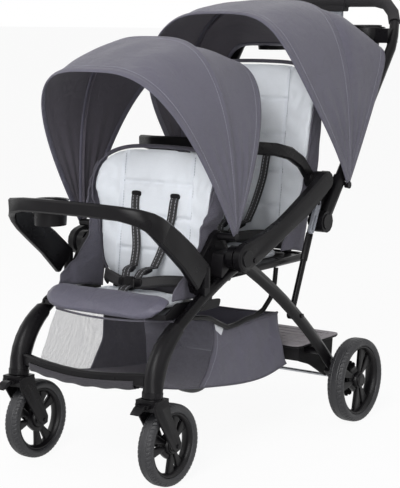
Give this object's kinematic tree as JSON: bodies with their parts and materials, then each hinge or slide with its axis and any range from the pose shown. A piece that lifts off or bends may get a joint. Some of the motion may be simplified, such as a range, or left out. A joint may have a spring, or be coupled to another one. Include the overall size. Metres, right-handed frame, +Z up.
{
  "type": "tandem stroller",
  "caption": "Folding tandem stroller with a front seat, a rear bench, a standing platform, two fold-back canopies, swivel casters and an open basket.",
  "frame": {"origin": "bottom centre of the bounding box, on the ground", "axes": "+Z up, the children face -Y, +X is their left"},
  "size_m": [0.537, 1.1174, 1.0515],
  "materials": {
    "cloth": "slate grey weave",
    "dark_cloth": "dark grey weave",
    "foam": "matt black foam",
    "frame": "satin black coat",
    "latch": "mid grey",
    "moulding": "fine grain black",
    "platform": "warm grey, ribbed",
    "quilt": "light grey quilted",
    "rim": "black",
    "rubber": "matt dark grey",
    "steel": "bare",
    "webbing": "black webbing"
  },
  "bodies": {
    "frame": {"left_front_leg": "frame", "right_front_leg": "frame", "left_caster_housing": "moulding", "right_caster_housing": "moulding", "front_crossbar": "moulding", "left_side_bracket": "moulding", "right_side_bracket": "moulding", "left_arm_cover": "moulding", "right_arm_cover": "moulding", "front_seat_board": "moulding", "front_seat_pad": "quilt", "calf_rest": "cloth", "left_basket_rail": "frame", "right_basket_rail": "frame", "rear_seat_frame": "frame", "rear_seat_pad": "quilt", "basket": "cloth", "front_canopy_back": "cloth", "front_harness": "webbing", "rear_harness": "webbing"},
    "rear_legs": {"left_rear_leg": "frame", "right_rear_leg": "frame", "rear_crossbar": "frame", "rear_axle": "steel", "standing_platform": "platform", "left_axle_housing": "moulding", "right_axle_housing": "moulding"},
    "handle": {"handle_tube": "frame", "handle_grip": "foam", "parent_tray": "moulding", "left_fold_housing": "moulding", "right_fold_housing": "moulding", "rear_canopy_back": "cloth"},
    "struts": {"left_strut": "frame", "right_strut": "frame"},
    "trigger": {"fold_trigger": "latch"},
    "front_backrest": {"front_backrest_board": "dark_cloth", "front_backrest_pad": "quilt"},
    "rear_backrest": {"rear_backrest_board": "dark_cloth", "rear_backrest_pad": "quilt"},
    "front_tray": {"front_tray": "moulding"},
    "belly_bar": {"rear_belly_bar": "moulding"},
    "front_hood": {"front_canopy_hood": "cloth"},
    "rear_hood": {"rear_canopy_hood": "cloth"},
    "left_brake_pedal": {"left_brake_pedal": "moulding"},
    "left_latch": {"left_fold_latch": "latch"},
    "left_rear_wheel": {"left_rear_tyre": "rubber", "left_rear_rim": "rim"},
    "left_fork": {"left_caster_fork": "moulding"},
    "left_lock_lever": {"left_caster_lock_lever": "moulding"},
    "left_front_wheel": {"left_front_tyre": "rubber", "left_front_rim": "rim"},
    "right_brake_pedal": {"right_brake_pedal": "moulding"},
    "right_latch": {"right_fold_latch": "latch"},
    "right_rear_wheel": {"right_rear_tyre": "rubber", "right_rear_rim": "rim"},
    "right_fork": {"right_caster_fork": "moulding"},
    "right_lock_lever": {"right_caster_lock_lever": "moulding"},
    "right_front_wheel": {"right_front_tyre": "rubber", "right_front_rim": "rim"}
  },
  "joints": [
    {"name": "fold", "type": "hinge", "parent": "frame", "child": "handle", "pos_m": [0, 0.12025, 0.612], "axis": [1, 0, 0], "range_deg": [0, 115], "deforming": ["front_canopy_hood", "front_canopy_back", "rear_canopy_hood", "rear_canopy_back"]},
    {"name": "rear_legs_fold", "type": "hinge", "parent": "frame", "child": "rear_legs", "pos_m": [0, -0.22475, 0.47], "axis": [1, 0, 0], "range_deg": [0, 30.5]},
    {"name": "strut_fold", "type": "hinge", "parent": "handle", "child": "struts", "pos_m": [0, 0.12225, 0.513], "axis": [1, 0, 0], "range_deg": [-125.3, 0]},
    {"name": "trigger_slide", "type": "slide", "parent": "handle", "child": "trigger", "axis": [0, 0, 1], "range_m": [0, 0.006], "stiffness_N_per_m": 300},
    {"name": "left_latch_swing", "type": "hinge", "parent": "handle", "child": "left_latch", "pos_m": [0.228, 0.10025, 0.558], "axis": [1, 0, 0], "range_deg": [-12, 0]},
    {"name": "right_latch_swing", "type": "hinge", "parent": "handle", "child": "right_latch", "pos_m": [-0.228, 0.10025, 0.558], "axis": [1, 0, 0], "range_deg": [-12, 0]},
    {"name": "left_caster_swivel", "type": "hinge", "parent": "frame", "child": "left_fork", "pos_m": [0.188, -0.49475, 0.205], "axis": [0, 0, 1], "continuous": true},
    {"name": "left_lock_swing", "type": "hinge", "parent": "left_fork", "child": "left_lock_lever", "pos_m": [0.188, -0.52875, 0.1922], "axis": [1, 0, 0], "range_deg": [0, 18]},
    {"name": "left_front_wheel_spin", "type": "hinge", "parent": "left_fork", "child": "left_front_wheel", "pos_m": [0.188, -0.43975, 0.09], "axis": [1, 0, 0], "continuous": true},
    {"name": "left_rear_wheel_spin", "type": "hinge", "parent": "rear_legs", "child": "left_rear_wheel", "pos_m": [0.247, 0.25625, 0.104], "axis": [1, 0, 0], "continuous": true},
    {"name": "left_brake_press", "type": "hinge", "parent": "rear_legs", "child": "left_brake_pedal", "pos_m": [0.19, 0.26925, 0.138], "axis": [1, 0, 0], "range_deg": [-22, 0]},
    {"name": "right_caster_swivel", "type": "hinge", "parent": "frame", "child": "right_fork", "pos_m": [-0.188, -0.49475, 0.205], "axis": [0, 0, 1], "continuous": true},
    {"name": "right_lock_swing", "type": "hinge", "parent": "right_fork", "child": "right_lock_lever", "pos_m": [-0.188, -0.52875, 0.1922], "axis": [1, 0, 0], "range_deg": [0, 18]},
    {"name": "right_front_wheel_spin", "type": "hinge", "parent": "right_fork", "child": "right_front_wheel", "pos_m": [-0.188, -0.43975, 0.09], "axis": [1, 0, 0], "continuous": true},
    {"name": "right_rear_wheel_spin", "type": "hinge", "parent": "rear_legs", "child": "right_rear_wheel", "pos_m": [-0.247, 0.25625, 0.104], "axis": [1, 0, 0], "continuous": true},
    {"name": "right_brake_press", "type": "hinge", "parent": "rear_legs", "child": "right_brake_pedal", "pos_m": [-0.19, 0.26925, 0.138], "axis": [1, 0, 0], "range_deg": [-22, 0]},
    {"name": "front_recline", "type": "hinge", "parent": "frame", "child": "front_backrest", "pos_m": [0, -0.22975, 0.378], "axis": [1, 0, 0], "range_deg": [-12, 0]},
    {"name": "rear_recline", "type": "hinge", "parent": "frame", "child": "rear_backrest", "pos_m": [0, 0.14625, 0.439], "axis": [1, 0, 0], "range_deg": [-20, 0]},
    {"name": "front_tray_swing", "type": "hinge", "parent": "frame", "child": "front_tray", "pos_m": [-0.194, -0.31175, 0.44], "axis": [0, 0, 1], "range_deg": [-75, 0]},
    {"name": "belly_bar_lift", "type": "hinge", "parent": "frame", "child": "belly_bar", "pos_m": [0, 0.12025, 0.612], "axis": [1, 0, 0], "range_deg": [-55, 0]},
    {"name": "front_hood_fold", "type": "hinge", "parent": "frame", "child": "front_hood", "pos_m": [0, -0.23075, 0.516], "axis": [1, 0, 0], "range_deg": [-30, 0]},
    {"name": "rear_hood_fold", "type": "hinge", "parent": "handle", "child": "rear_hood", "pos_m": [0, 0.20625, 0.594], "axis": [1, 0, 0], "range_deg": [-20, 0]}
  ],
  "couplings": [
    {"joint": "rear_legs_fold", "follows": "fold", "ratio": 0.26283},
    {"joint": "strut_fold", "follows": "fold", "ratio": -1.0853}
  ]
}
